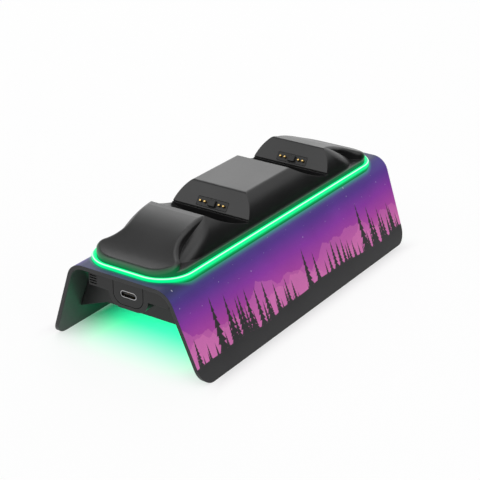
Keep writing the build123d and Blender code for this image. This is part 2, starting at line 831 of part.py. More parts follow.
# Ring board: a frame on the tray's ledge, with lamps under the light ring's lip
with BuildPart() as ring_board:
    ring_frame = frame_outline(
        ledge_height,
        ring_board_half_length,
        ring_board_half_width,
        board_corner,
        ring_board_half_width - ring_board_inner,
    )
    extrude(ring_frame, amount=ring_board_thickness)
finish(ring_board, "ring_board")

with BuildPart() as ring_leds:
    lamp_pitch = 2 * (lip_line_half_length - ring_lamp_end_margin) / (ring_lamps_along - 1)
    with BuildSketch(Plane.XY.offset(ring_board_top)):
        with Locations((0, lip_line_half_width), (0, -lip_line_half_width)):
            with GridLocations(lamp_pitch, 1, ring_lamps_along, 1):
                Rectangle(lamp_size, lamp_size)
        with Locations((lip_line_half_length, 0), (-lip_line_half_length, 0)):
            with GridLocations(1, ring_lamp_pitch_across, 1, ring_lamps_across):
                Rectangle(lamp_size, lamp_size)
    extrude(amount=lamp_height)
finish(ring_leds, "ring_leds")

# Underglow: a lens strip in the tray's floor, with its board and lamps above it
with BuildPart() as underglow_lens:
    with BuildSketch(Plane.XY.offset(floor_height)):
        SlotOverall(2 * lens_half_length, 2 * lens_half_width)
    extrude(amount=tray_wall)
    with BuildSketch(Plane.XY.offset(floor_top)):
        SlotOverall(2 * (lens_half_length + lens_flange), 2 * (lens_half_width + lens_flange))
    extrude(amount=lens_flange_thickness + lens_chamber)
    with BuildSketch(Plane.XY.offset(floor_top + lens_flange_thickness)):
        rim_inset = lens_flange - lens_side_wall
        SlotOverall(2 * (lens_half_length + rim_inset), 2 * (lens_half_width + rim_inset))
    extrude(amount=lens_chamber, mode=Mode.SUBTRACT)
finish(underglow_lens, "underglow_lens")

with BuildPart() as underglow_board:
    with BuildSketch(Plane.XY.offset(lens_rim)):
        SlotOverall(2 * (lens_half_length + lens_flange), 2 * (lens_half_width + lens_flange))
    extrude(amount=underglow_board_thickness)
finish(underglow_board, "underglow_board")

with BuildPart() as underglow_leds:
    lamp_pitch = 2 * (lens_half_length - underglow_end_margin) / (underglow_lamps - 1)
    with BuildSketch(Plane.XY.offset(lens_rim)):
        with GridLocations(lamp_pitch, 1, underglow_lamps, 1):
            Rectangle(lamp_size, lamp_size)
    extrude(amount=-lamp_height)
finish(underglow_leds, "underglow_leds")

# Fasteners: long screws from below that clamp the cover, and the main board's screws
with BuildPart() as base_screws:
    with BuildSketch(Plane.XY.offset(screw_seat)):
        with Locations(*post_spots):
            Circle(screw_head_radius)
    extrude(amount=-screw_head_height)
    with BuildSketch(Plane.XY.offset(screw_seat)):
        with Locations(*post_spots):
            Circle(screw_radius)
    extrude(amount=deck_underside + screw_thread_run - screw_seat)
finish(base_screws, "base_screws")

with BuildPart() as board_screws:
    with BuildSketch(Plane.XY.offset(main_board_top)):
        with Locations(*board_boss_spots):
            Circle(board_screw_head)
    extrude(amount=board_screw_head_height)
    with BuildSketch(Plane.XY.offset(main_board_top)):
        with Locations(*board_boss_spots):
            Circle(board_screw_radius)
    extrude(amount=-board_screw_length)
finish(board_screws, "board_screws")

# Leads: each runs from the back of a contact board down to its header
for name, foot_x in stations.items():
    back = face_plane(foot_x, lead_depth)
    start = back.from_local_coords((0, contact_rise, 0))
    bend = back.from_local_coords((0, contact_rise, -harness_stub))
    header_x = header_xs[name]
    route = [start, bend]
    if abs(bend.X - header_x) > header_length:
        run_height = header_top + harness_drop
        route += [(bend.X, 0, run_height), (header_x, 0, run_height)]
    route.append((header_x, 0, header_top))
    with BuildPart() as harness:
        with BuildLine() as path:
            FilletPolyline(*route, radius=harness_bend)
        with BuildSketch(Plane(path.line @ 0, z_dir=path.line % 0)):
            Circle(harness_radius)
        sweep()
    finish(harness, f"harness_{name}")
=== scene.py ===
from math import cos, pi, radians, sin

import bpy
import numpy as np
from bpy.props import FloatProperty, FloatVectorProperty, IntProperty, PointerProperty
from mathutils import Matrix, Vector


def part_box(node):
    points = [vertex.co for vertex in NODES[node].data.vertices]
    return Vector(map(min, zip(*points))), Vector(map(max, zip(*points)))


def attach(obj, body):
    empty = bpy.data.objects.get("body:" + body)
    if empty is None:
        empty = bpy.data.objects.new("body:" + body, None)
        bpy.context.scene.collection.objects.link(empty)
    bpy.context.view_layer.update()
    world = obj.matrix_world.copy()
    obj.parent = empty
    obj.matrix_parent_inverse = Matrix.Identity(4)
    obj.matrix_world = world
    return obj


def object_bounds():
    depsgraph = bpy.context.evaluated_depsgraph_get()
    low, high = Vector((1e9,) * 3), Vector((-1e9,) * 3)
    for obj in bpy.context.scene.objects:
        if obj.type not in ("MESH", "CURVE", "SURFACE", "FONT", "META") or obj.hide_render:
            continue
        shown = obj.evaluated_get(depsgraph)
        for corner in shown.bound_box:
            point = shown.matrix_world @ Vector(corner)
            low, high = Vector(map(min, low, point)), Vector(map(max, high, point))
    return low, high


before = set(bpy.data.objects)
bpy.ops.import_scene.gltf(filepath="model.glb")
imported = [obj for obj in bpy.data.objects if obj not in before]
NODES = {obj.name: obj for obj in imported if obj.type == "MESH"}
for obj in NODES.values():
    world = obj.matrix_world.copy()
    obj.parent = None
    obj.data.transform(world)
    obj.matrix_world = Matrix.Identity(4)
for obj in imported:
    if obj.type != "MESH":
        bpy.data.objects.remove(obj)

bl_info = {
    "name": "Controller charging dock",
    "version": (1, 0, 0),
    "blender": (4, 5, 0),
    "location": "View3D > Sidebar > Dock",
    "description": "Finishes, small pieces and stage for a charging dock with a printed cover and a lit ring",
    "category": "Object",
}

MM = 0.001
CAD_BOX = [list(corner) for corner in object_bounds()]
BODY = "dock"
STATIONS = ("front", "rear")
PIN_NUMBERS = range(1, 5)
DECK_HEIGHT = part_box("cover_plate")[1].z
RING_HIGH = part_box("light_ring")[1]
RING_WIDTH = 2.2 * MM
RING_CORNER = 15.0 * MM
BLACK = (0, 0, 0, 1)
WHITE = (1, 1, 1, 1)

# Softboxes: name, direction from the dock, side, radiance and distance
SOFTBOXES = (
    ("back_softbox", (0.75, 0.51, 0.44), 0.75, 0.95, 1.1),
    ("high_softbox", (0.47, 0.51, 0.72), 0.5, 1.2, 1.1),
    ("left_softbox", (-0.61, 0.51, 0.62), 0.75, 1.2, 1.1),
    ("top_softbox", (0.10, 0.10, 1.0), 1.5, 1.0, 1.4),
    ("front_softbox", (-0.10, -0.80, 0.58), 1.0, 1.2, 1.1),
)

# Dark cards: name, profile in Y and Z, ends along X and shade
CARDS = (
    ("side_card", [(-0.07, 0.002), (-0.55, 0.002), (-0.62, 0.40)], (-0.25, 1.3), 0.012),
    ("overhead_card", [(0.15, 0.80), (0.85, 0.80)], (-0.26, 0.16), 0.30),
)


def colour(name, description, red, green, blue):
    """A colour setting, given as scene-linear red, green and blue."""
    return FloatVectorProperty(
        name=name, description=description, subtype="COLOR", size=4, min=0, max=1,
        default=(red, green, blue, 1),
    )


def length(name, description, default):
    """A size setting, in metres."""
    return FloatProperty(
        name=name, description=description, unit="LENGTH", subtype="DISTANCE", default=default
    )


def angle(name, description, degrees):
    """An angle setting, given in degrees."""
    return FloatProperty(name=name, description=description, subtype="ANGLE", default=radians(degrees))


def factor(name, description, default, top=2.0):
    """A setting without a unit, from 0 to its top."""
    return FloatProperty(
        name=name, description=description, subtype="FACTOR", default=default, min=0, max=top
    )


class DockFinish(bpy.types.PropertyGroup):
    """Colours and lights of the dock's pieces."""

    plastic: colour("Black plastic", "Moulded cradle, tray and bezel", 0.0070, 0.0070, 0.0072)
    insert: colour("Insert", "Contact inserts and the inlet's tongue", 0.0030, 0.0030, 0.0032)
    sheet: colour("Sheet", "Bare sheet at the cover's edges and inside", 0.038, 0.038, 0.039)
    glow: colour("Glow", "Light of the ring and of the lens under the tray", 0.0, 1.0, 0.28)
    underglow: colour("Underglow", "Light on the floor in the tray's mouths", 0.0, 1.0, 0.40)
    core: colour("Core", "Bright line along the ring's crown", 0.80, 1.0, 0.92)
    gold: colour("Gold", "Plated contacts", 0.66, 0.45, 0.16)
    brass: colour("Brass", "Barrels of the contacts", 0.62, 0.42, 0.16)
    steel: colour("Steel", "Shell of the power inlet", 0.50, 0.50, 0.51)
    zinc: colour("Zinc", "Plated screws", 0.42, 0.42, 0.43)
    resist: colour("Solder resist", "Circuit boards", 0.010, 0.070, 0.030)
    track: colour("Track", "Copper tracks under the resist", 0.030, 0.130, 0.060)
    package: colour("Chip package", "Moulded chips and coils", 0.020, 0.020, 0.020)
    lamp: colour("Lamp package", "Small lamps on the boards", 0.75, 0.76, 0.66)
    sleeve: colour("Lead sleeve", "Soft sleeve of the inner leads", 0.030, 0.030, 0.030)
    ring_light: factor("Ring light", "Strength of the ring's light", 1.1)
    lens_light: factor("Lens light", "Strength of the light of the lens under the tray", 1.0)


class DockPrint(bpy.types.PropertyGroup):
    """Sizes and inks of the dusk scene that is printed on the cover."""

    ground: length("Ground", "Mean height of the dark foreground", 9.0 * MM)
    ground_swell: length("Ground swell", "How far the foreground rises and falls", 9.0 * MM)
    ridge: length("Ridge", "Height of the far ridge's lowest saddles", 13.0 * MM)
    ridge_peak: length("Ridge peak", "Rise of the far ridge's peaks", 15.0 * MM)
    pine_pitch: length("Pine pitch", "Spacing of the pines", 7.2 * MM)
    pine_low: length("Low pine", "Height of the lowest pine", 4.0 * MM)
    pine_high: length("High pine", "Height of the highest pine", 23.0 * MM)
    star: length("Star", "Radius of the largest star", 0.26 * MM)
    star_pitch: length("Star pitch", "Spacing of the stars", 7.5 * MM)
    pine_tiers: IntProperty(name="Pine tiers", description="Tiers of branches in a pine", default=7, min=1)
    deck: colour("Deck", "Dark blue of the level top", 0.016, 0.020, 0.085)
    night: colour("Night", "Sky at the fold", 0.062, 0.044, 0.230)
    violet: colour("Violet", "Upper sky", 0.120, 0.040, 0.310)
    purple: colour("Purple", "Middle sky", 0.270, 0.040, 0.390)
    magenta: colour("Magenta", "Lower sky", 0.440, 0.060, 0.390)
    horizon: colour("Horizon", "Sky at the horizon", 0.640, 0.120, 0.420)
    haze: colour("Haze", "Far ridge", 0.720, 0.200, 0.500)
    ink: colour("Ink", "Foreground and pines", 0.036, 0.036, 0.037)


class DockStage(bpy.types.PropertyGroup):
    """Camera, light and floor."""

    target: FloatVectorProperty(
        name="Target", description="Point that the camera looks at", subtype="TRANSLATION", unit="LENGTH",
        default=(-1.01 * MM, 0.0, 24.84 * MM),
    )
    azimuth: angle("Azimuth", "Camera's turn about Z", -55.946)
    elevation: angle("Elevation", "Camera's height angle", 24.659)
    distance: length("Distance", "From the camera to its target", 670.87 * MM)
    lens: FloatProperty(
        name="Lens", description="Focal length on a 36 mm sensor", subtype="DISTANCE_CAMERA", default=102.26
    )
    floor_size: length("Floor", "Side of the square floor", 12.0)
    floor_white: colour("Floor white", "Pale floor", 0.93, 0.93, 0.93)
    floor_lift: factor("Floor lift", "How far the open floor is lifted to white", 0.9, top=1.0)
    ambient: factor("Ambient", "Even light from all round", 0.36, top=1.0)
    mouth_light: factor("Mouth light", "Radiance of the lamps in the tray's mouths", 1.45)


class Shader:
    """Adds linked nodes to one material, world or node group."""

    def __init__(self, tree):
        self.tree = tree

    def feed(self, made, inputs):
        """Feed a node's inputs, by name or number, with links or plain values."""
        for name, value in inputs.items():
            if isinstance(value, bpy.types.NodeSocket):
                self.tree.links.new(value, made.inputs[name])
            else:
                made.inputs[name].default_value = value

    def node(self, kind, inputs=None, **settings):
        """Add a node, apply its settings and feed its inputs."""
        made = self.tree.nodes.new(kind)
        for name, value in settings.items():
            setattr(made, name, value)
        self.feed(made, inputs or {})
        return made

    def math(self, operation, *values):
        """One math node on numbers or links."""
        return self.node("ShaderNodeMath", dict(enumerate(values)), operation=operation).outputs[0]

    def remainder(self, share):
        """What a share leaves of 1."""
        return self.math("SUBTRACT", 1.0, share)

    def swing(self, noise):
        """Noise from 0 to 1 moved to lie about 0."""
        return self.math("SUBTRACT", noise, 0.5)

    def past(self, value, half):
        """How far a value lies beyond a half size on either side, less than 0 within it."""
        return self.math("SUBTRACT", self.math("ABSOLUTE", value), half)

    def step(self, value, low, high):
        """Smooth step from 0 at low to 1 at high."""
        inputs = {"Value": value, "From Min": low, "From Max": high}
        return self.node("ShaderNodeMapRange", inputs, interpolation_type="SMOOTHSTEP").outputs["Result"]

    def exceeds(self, value, limit, soft):
        """1 where a value is above a limit, with an edge softened by the given length on both sides."""
        return self.step(self.math("SUBTRACT", value, limit), -soft, soft)

    def mix(self, share, below, above):
        """Colour from below to above by a share. Inputs 6 and 7 and output 2 are the Mix node's colours."""
        inputs = {"Factor": share, 6: below, 7: above}
        return self.node("ShaderNodeMix", inputs, data_type="RGBA").outputs[2]

    def scale(self, tint, shade):
        """A colour made lighter or darker by a factor."""
        return self.node("ShaderNodeVectorMath", {0: tint, "Scale": shade}, operation="SCALE").outputs[0]

    def split(self, vector):
        """X, Y and Z of a vector."""
        return self.node("ShaderNodeSeparateXYZ", {"Vector": vector}).outputs

    def noise(self, vector, size, detail=2.0, roughness=0.5):
        """Cloud noise from 0 to 1, with features of about the given size."""
        inputs = {"Vector": vector, "Scale": 1 / size, "Detail": detail, "Roughness": roughness}
        return self.node("ShaderNodeTexNoise", inputs).outputs[0]

    def wave(self, along, size, seed, detail=0.0):
        """Smooth noise from 0 to 1 along a line, with swells of about the given size."""
        inputs = {"W": self.math("MULTIPLY_ADD", along, 1 / size, seed), "Scale": 1.0, "Detail": detail}
        return self.node("ShaderNodeTexNoise", inputs, noise_dimensions="1D").outputs[0]

    def effect(self, name, **inputs):
        """Place a shared effect, with its inputs given by name."""
        named = {socket.capitalize(): value for socket, value in inputs.items()}
        return self.node("ShaderNodeGroup", named, node_tree=bpy.data.node_groups[name]).outputs


def shaded(tint, share):
    """A colour with its red, green and blue multiplied by a share."""
    red, green, blue = tint[:3]
    return (share * red, share * green, share * blue, 1)


def start_effect(name, inputs, outputs):
    """Start a shader node group; gives its graph, its inputs and its end node."""
    tree = bpy.data.node_groups.new(name, "ShaderNodeTree")
    for socket, kind in inputs.items():
        tree.interface.new_socket(socket, in_out="INPUT", socket_type=kind)
    for socket, kind in outputs.items():
        tree.interface.new_socket(socket, in_out="OUTPUT", socket_type=kind)
    graph = Shader(tree)
    return graph, graph.node("NodeGroupInput").outputs, graph.node("NodeGroupOutput")


def start_material(name):
    """Start a material; gives it with its graph, its Principled shader and its Object coordinates."""
    material = bpy.data.materials.new(name)
    material.use_nodes = True
    graph = Shader(material.node_tree)
    shader = material.node_tree.nodes["Principled BSDF"]
    place = graph.node("ShaderNodeTexCoord").outputs["Object"]
    return material, graph, shader, place


def dress(material, *nodes):
    """Give CAD nodes a material in place of their plain one."""
    for node in nodes:
        for slot in NODES[node].material_slots:
            slot.material = material


def add_mesh(name, points, faces, material):
    """Add an object made of points and faces, with its material."""
    mesh = bpy.data.meshes.new(name)
    mesh.from_pydata(points.tolist(), [], faces)
    mesh.materials.append(material)
    made = bpy.data.objects.new(name, mesh)
    bpy.context.scene.collection.objects.link(made)
    return made


def make_ring_distance():
    """Effect: distance out from the light ring's centre line, a rounded rectangle, less than 0 inside it.

    With q = |place| - (half size - corner), the distance is |max(q, 0)| + min(max(qx, qy), 0) - corner.
    """
    graph, given, end = start_effect(
        "Ring distance", {"Place": "NodeSocketVector"}, {"Distance": "NodeSocketFloat"}
    )
    half_x = RING_HIGH.x - RING_WIDTH / 2
    half_y = RING_HIGH.y - RING_WIDTH / 2
    x, y, _ = graph.split(given["Place"])
    past_x = graph.past(x, half_x - RING_CORNER)
    past_y = graph.past(y, half_y - RING_CORNER)
    out_x = graph.math("MAXIMUM", past_x, 0.0)
    out_y = graph.math("MAXIMUM", past_y, 0.0)
    squares = graph.math("ADD", graph.math("MULTIPLY", out_x, out_x), graph.math("MULTIPLY", out_y, out_y))
    inside = graph.math("MINIMUM", graph.math("MAXIMUM", past_x, past_y), 0.0)
    signed = graph.math("SUBTRACT", graph.math("ADD", graph.math("SQRT", squares), inside), RING_CORNER)
    graph.feed(end, {"Distance": signed})


def make_ring_spill(light):
    """Effect: the ring's light on what lies beside it, dying away from its centre line."""
    full_within, none_beyond, falloff = 0.6 * MM, 3.4 * MM, 2.0
    graph, given, end = start_effect(
        "Ring spill",
        {"Place": "NodeSocketVector", "Strength": "NodeSocketFloat"},
        {"Light": "NodeSocketColor"},
    )
    distance = graph.math("ABSOLUTE", graph.effect("Ring distance", place=given["Place"])["Distance"])
    near = graph.remainder(graph.step(distance, full_within, none_beyond))
    share = graph.math("MULTIPLY", graph.math("POWER", near, falloff), given["Strength"])
    graph.feed(end, {"Light": graph.mix(share, BLACK, light)})


def make_moulded_grain():
    """Effect: fine spark-eroded grain of a mould, with a slow drift in shade and polish."""
    fine_size, fine_shade, fine_polish = 0.35 * MM, 0.35, 0.10
    drift_size, drift_shade, drift_polish = 22 * MM, 0.25, 0.14
    graph, given, end = start_effect(
        "Moulded grain",
        {"Place": "NodeSocketVector", "Colour": "NodeSocketColor", "Polish": "NodeSocketFloat"},
        {"Colour": "NodeSocketColor", "Roughness": "NodeSocketFloat", "Height": "NodeSocketFloat"},
    )
    height = graph.noise(given["Place"], fine_size, detail=3.0, roughness=0.6)
    fine = graph.swing(height)
    drift = graph.swing(graph.noise(given["Place"], drift_size, detail=3.0))
    shade = graph.math("MULTIPLY_ADD", fine, fine_shade, 1.0)
    shade = graph.math("MULTIPLY_ADD", drift, drift_shade, shade)
    rough = graph.math("MULTIPLY_ADD", drift, drift_polish, given["Polish"])
    rough = graph.math("MULTIPLY_ADD", fine, fine_polish, rough)
    tinted = graph.scale(given["Colour"], shade)
    graph.feed(end, {"Colour": tinted, "Roughness": rough, "Height": height})


def pine_row(graph, along, height, ground, pitch, low, high, tiers, phase, kept):
    """Mask of a row of pines, one in each cell of the pitch, some left out, taller where the row swells.

    A pine of height H has its half-width H * spread * (1 - t) * (1 - sweep * part) at the share t of its
    height, where part runs from 0 to 1 up each tier of branches.
    """
    spread, sweep, soft = 0.155, 0.6, 0.10 * MM
    swell_size, swell_low, swell_high, seed = 46 * MM, 0.30, 0.66, 10 * phase
    least_share, first_shift, shift_range = 0.4, 0.42, 0.16
    cells = graph.math("MULTIPLY_ADD", along, 1 / pitch, phase)
    cell = graph.math("FLOOR", cells)
    chance = graph.node("ShaderNodeTexWhiteNoise", {"W": cell}, noise_dimensions="1D").outputs["Color"]
    tall_chance, shift_chance, kept_chance = graph.split(chance)
    row = graph.wave(graph.math("MULTIPLY", cell, pitch), swell_size, seed)
    swell = graph.step(row, swell_low, swell_high)
    tall = graph.math("MULTIPLY_ADD", tall_chance, 1 - least_share, least_share)
    tall = graph.math("MULTIPLY_ADD", graph.math("MULTIPLY", tall, swell), high - low, low)
    shift = graph.math("MULTIPLY_ADD", shift_chance, shift_range, first_shift)
    across = graph.math("ABSOLUTE", graph.math("SUBTRACT", graph.math("FRACT", cells), shift))
    across = graph.math("MULTIPLY", across, pitch)
    share = graph.math("DIVIDE", graph.math("SUBTRACT", height, ground), tall)
    part = graph.math("FRACT", graph.math("MULTIPLY", share, tiers))
    width = graph.math("MULTIPLY", tall, graph.math("MULTIPLY_ADD", share, -spread, spread))
    width = graph.math("MULTIPLY", width, graph.math("MULTIPLY_ADD", part, -sweep, 1.0))
    tree = graph.exceeds(width, across, soft)
    below_top = graph.math("LESS_THAN", share, 1.0)
    stands = graph.math("LESS_THAN", kept_chance, kept)
    return graph.math("MULTIPLY", tree, graph.math("MULTIPLY", below_top, stands))


def star_mask(graph, along, height, settings):
    """Mask of stars, one in each cell of the picture's plane, each with its own radius."""
    within, beyond = -0.05 * MM, 0.15 * MM
    flat = graph.node("ShaderNodeCombineXYZ", {"X": along, "Y": height}).outputs[0]
    inputs = {"Vector": flat, "Scale": 1 / settings.star_pitch}
    cells = graph.node("ShaderNodeTexVoronoi", inputs, voronoi_dimensions="2D").outputs
    bright, _, _ = graph.split(cells["Color"])
    radius = graph.math("MULTIPLY", graph.math("POWER", bright, 2.0), settings.star)
    distance = graph.math("MULTIPLY", cells["Distance"], settings.star_pitch)
    return graph.remainder(graph.step(graph.math("SUBTRACT", distance, radius), within, beyond))


def dusk_sky(graph, place, along, height, settings):
    """Sky of the print: inks blended upwards, with stars where it is dark.

    The blend leans along the flap, is bent by slow noise, and runs into the deck's ink at the fold.
    """
    lean, bend_size, bend_depth, fold_rate = -0.03, 80 * MM, 12 * MM, 4.0
    dark_from, dark_to = 0.58 * DECK_HEIGHT, 0.78 * DECK_HEIGHT
    star_share, star_light = 0.6, (0.75, 0.72, 0.9, 1)
    inks = (
        (0.28, settings.horizon), (0.48, settings.magenta), (0.66, settings.purple),
        (0.82, settings.violet), (0.93, settings.night), (1.0, settings.deck),
    )
    bend = graph.swing(graph.noise(place, bend_size, detail=1.0))
    lift = graph.math("MULTIPLY_ADD", along, lean, height)
    lift = graph.math("MULTIPLY_ADD", bend, bend_depth, lift)
    fold = graph.math("MULTIPLY_ADD", height, fold_rate, (1 - fold_rate) * DECK_HEIGHT)
    lift = graph.math("MAXIMUM", lift, fold)
    ramp = graph.node("ShaderNodeValToRGB", {"Fac": graph.math("DIVIDE", lift, DECK_HEIGHT)})
    elements = ramp.color_ramp.elements
    for number, (stop, ink) in enumerate(inks):
        element = elements[number] if number < len(elements) else elements.new(stop)
        element.position = stop
        element.color = ink
    stars = star_mask(graph, along, height, settings)
    stars = graph.math("MULTIPLY", stars, graph.step(lift, dark_from, dark_to))
    return graph.mix(graph.math("MULTIPLY", stars, star_share), ramp.outputs["Color"], star_light)


def far_ridge(graph, along, height, settings):
    """Share of haze from two far ridges, whose outlines are sums of triangle waves and fine crags."""
    soft, haze_share, origin = 0.12 * MM, 0.34, 0.4
    crag_size, crag_depth = 3.5 * MM, 2.2 * MM
    drops_and_seeds = ((0.0, 0.0), (4.5 * MM, 3.7))
    periods_and_rises = ((67 * MM, 0.55), (29 * MM, 0.32), (11.5 * MM, 0.13))
    hazes = []
    for drop, seed in drops_and_seeds:
        crags = graph.swing(graph.wave(along, crag_size, seed, detail=2.0))
        outline = graph.math("MULTIPLY_ADD", crags, crag_depth, settings.ridge - drop)
        for period, rise in periods_and_rises:
            start = graph.math("ADD", along, origin + seed * period)
            triangle = graph.math("PINGPONG", start, period / 2)
            outline = graph.math("MULTIPLY_ADD", triangle, 2 * rise * settings.ridge_peak / period, outline)
        inside = graph.exceeds(outline, height, soft)
        hazes.append(graph.math("MULTIPLY", inside, haze_share))
    return graph.math("ADD", *hazes)


def make_dusk_print(settings):
    """Effect: the printed scene, with a dusk sky, stars, far ridges and pines on dark ground.

    The picture's own axes are the distance along the flap, read the same way on both sides, and the height.
    """
    soft, swell_size, swell_seed = 0.12 * MM, 52 * MM, 4.2
    # Rows of pines: shares of the pitch and of the height, start of the first cell and share of cells filled
    rows = ((1.0, 1.0, 0.13, 0.9), (0.63, 0.62, 0.57, 0.9), (1.27, 1.1, 0.31, 0.6))
    graph, given, end = start_effect(
        "Dusk print", {"Place": "NodeSocketVector"}, {"Colour": "NodeSocketColor"}
    )
    x, y, height = graph.split(given["Place"])
    along = graph.math("MULTIPLY", x, graph.math("MULTIPLY", graph.math("SIGN", y), -1.0))
    sky = dusk_sky(graph, given["Place"], along, height, settings)
    picture = graph.mix(far_ridge(graph, along, height, settings), sky, settings.haze)
    swell = graph.swing(graph.wave(along, swell_size, swell_seed, detail=1.0))
    ground = graph.math("MULTIPLY_ADD", swell, settings.ground_swell, settings.ground)
    dark = graph.exceeds(ground, height, soft)
    for pitch_share, tall_share, phase, kept in rows:
        pines = pine_row(
            graph, along, height, ground, pitch_share * settings.pine_pitch,
            tall_share * settings.pine_low, tall_share * settings.pine_high, settings.pine_tiers, phase, kept,
        )
        dark = graph.math("MAXIMUM", dark, pines)
    graph.feed(end, {"Colour": graph.mix(dark, picture, settings.ink)})


def grained_normal(graph, height, depth, strength, edge):
    """Normal of a grained surface, with its edges softened to a radius."""
    soft = graph.node("ShaderNodeBevel", {"Radius": edge}, samples=6).outputs[0]
    inputs = {"Height": height, "Distance": depth, "Strength": strength, "Normal": soft}
    return graph.node("ShaderNodeBump", inputs).outputs[0]


def moulded_plastic(name, tint, polish, depth, specular):
    """Moulded plastic: a tinted grain that also roughens and dimples the surface, with softened edges."""
    edge, strength = 0.35 * MM, 0.35
    material, graph, shader, place = start_material(name)
    grain = graph.effect("Moulded grain", place=place, colour=tint, polish=polish)
    inputs = {
        "Base Color": grain["Colour"],
        "Roughness": grain["Roughness"],
        "Normal": grained_normal(graph, grain["Height"], depth, strength, edge),
        "Specular IOR Level": specular,
    }
    graph.feed(shader, inputs)
    return material


def plated_metal(name, tint, polish, line):
    """Plated metal: fine drawn lines of the given spacing in its colour and polish."""
    stretch, least_shade, shade_range, polish_range = (0.15, 1.0, 1.0), 0.85, 0.30, 0.16
    line_depth, line_strength = 0.01 * MM, 0.4
    material, graph, shader, place = start_material(name)
    stretched = graph.node("ShaderNodeMapping", {"Vector": place, "Scale": stretch}).outputs[0]
    lines = graph.noise(stretched, line, detail=4.0, roughness=0.65)
    relief = {"Height": lines, "Distance": line_depth, "Strength": line_strength}
    inputs = {
        "Base Color": graph.scale(tint[:3], graph.math("MULTIPLY_ADD", lines, shade_range, least_shade)),
        "Roughness": graph.math("MULTIPLY_ADD", lines, polish_range, polish - polish_range / 2),
        "Normal": graph.node("ShaderNodeBump", relief).outputs[0],
        "Metallic": 1.0,
    }
    graph.feed(shader, inputs)
    return material


class DOCK_OT_effects(bpy.types.Operator):
    """Make the effects that the finishes are built from"""

    bl_idname = "dock.effects"
    bl_label = "Shared effects"

    def execute(self, context):
        make_ring_distance()
        make_ring_spill(context.scene.dock_finish.glow)
        make_moulded_grain()
        make_dusk_print(context.scene.dock_print)
        return {"FINISHED"}


class DOCK_OT_cover(bpy.types.Operator):
    """Print the dusk scene on the folded cover, bare at its edges and inside"""

    bl_idname = "dock.cover"
    bl_label = "Printed cover"

    def execute(self, context):
        finish = context.scene.dock_finish
        bare_below, printed_above, spill_strength = 0.15, 0.25, 0.30
        material, graph, shader, place = start_material("printed_sheet")
        _, _, up = graph.split(graph.node("ShaderNodeNewGeometry").outputs["Normal"])
        outside = graph.step(up, bare_below, printed_above)
        sheet = graph.mix(outside, finish.sheet, graph.effect("Dusk print", place=place)["Colour"])
        grain = graph.effect("Moulded grain", place=place, colour=sheet, polish=0.42)
        spill = graph.math("MULTIPLY", outside, spill_strength)
        inputs = {
            "Base Color": grain["Colour"],
            "Roughness": grain["Roughness"],
            "Normal": grained_normal(graph, grain["Height"], depth=0.01 * MM, strength=0.2, edge=0.3 * MM),
            "Emission Color": graph.effect("Ring spill", place=place, strength=spill)["Light"],
            "Emission Strength": 1.0,
            "Specular IOR Level": 0.22,
        }
        graph.feed(shader, inputs)
        dress(material, "cover_plate")
        return {"FINISHED"}


class DOCK_OT_ring(bpy.types.Operator):
    """Light the ring: saturated at its sides, with a bright line along its crown"""

    bl_idname = "dock.ring"
    bl_label = "Light ring"

    def execute(self, context):
        finish = context.scene.dock_finish
        crown, ripple_size, ripple_depth = 0.85 * MM, 6 * MM, 0.10 * MM
        core_edge, core_end = 0.05 * MM, 0.60 * MM
        fade_edge, fade_end, deep_share = 1.0 * MM, 3.5 * MM, 0.10
        milk_size, milk_dark, milk_pale = 4 * MM, (0.0, 0.10, 0.03, 1), (0.0, 0.16, 0.05, 1)
        material, graph, shader, place = start_material("lit_guide")
        distance = graph.effect("Ring distance", place=place)["Distance"]
        _, _, height = graph.split(place)
        depth = graph.math("SUBTRACT", RING_HIGH.z, height)
        ripple = graph.math("MULTIPLY_ADD", graph.noise(place, ripple_size), ripple_depth, distance)
        out_and_down = graph.math("ADD", ripple, depth)
        strip = graph.math("ABSOLUTE", graph.math("SUBTRACT", out_and_down, crown))
        core = graph.remainder(graph.step(strip, core_edge, core_end))
        fade = graph.remainder(graph.step(strip, fade_edge, fade_end))
        sides = graph.mix(fade, shaded(finish.glow, deep_share), finish.glow)
        inputs = {
            "Base Color": graph.mix(graph.noise(place, milk_size), milk_dark, milk_pale),
            "Emission Color": graph.mix(core, sides, finish.core),
            "Emission Strength": finish.ring_light,
            "Roughness": 0.5,
            "Specular IOR Level": 0.1,
        }
        graph.feed(shader, inputs)
        dress(material, "light_ring")
        return {"FINISHED"}


def light_beside_ring(material, strength):
    """Let the ring's light spill onto a moulding."""
    graph = Shader(material.node_tree)
    place = graph.node("ShaderNodeTexCoord").outputs["Object"]
    spill = graph.effect("Ring spill", place=place, strength=strength)["Light"]
    shader = material.node_tree.nodes["Principled BSDF"]
    graph.feed(shader, {"Emission Color": spill, "Emission Strength": 1.0})


class DOCK_OT_mouldings(bpy.types.Operator):
    """Give the cradle, the tray, the bezel and the contact inserts their black plastics"""

    bl_idname = "dock.mouldings"
    bl_label = "Black mouldings"

    def execute(self, context):
        finish = context.scene.dock_finish
        cradle = moulded_plastic("matt_black", finish.plastic, polish=0.36, depth=0.012 * MM, specular=0.42)
        light_beside_ring(cradle, strength=0.16)
        dress(cradle, "cradle_housing")
        tray = moulded_plastic("tray_black", finish.plastic, polish=0.42, depth=0.02 * MM, specular=0.42)
        dress(tray, "base_tray", "port_bezel")
        insert = moulded_plastic("insert_black", finish.insert, polish=0.38, depth=0.01 * MM, specular=0.33)
        dress(insert, *(f"contact_block_{name}" for name in STATIONS))
        return {"FINISHED"}


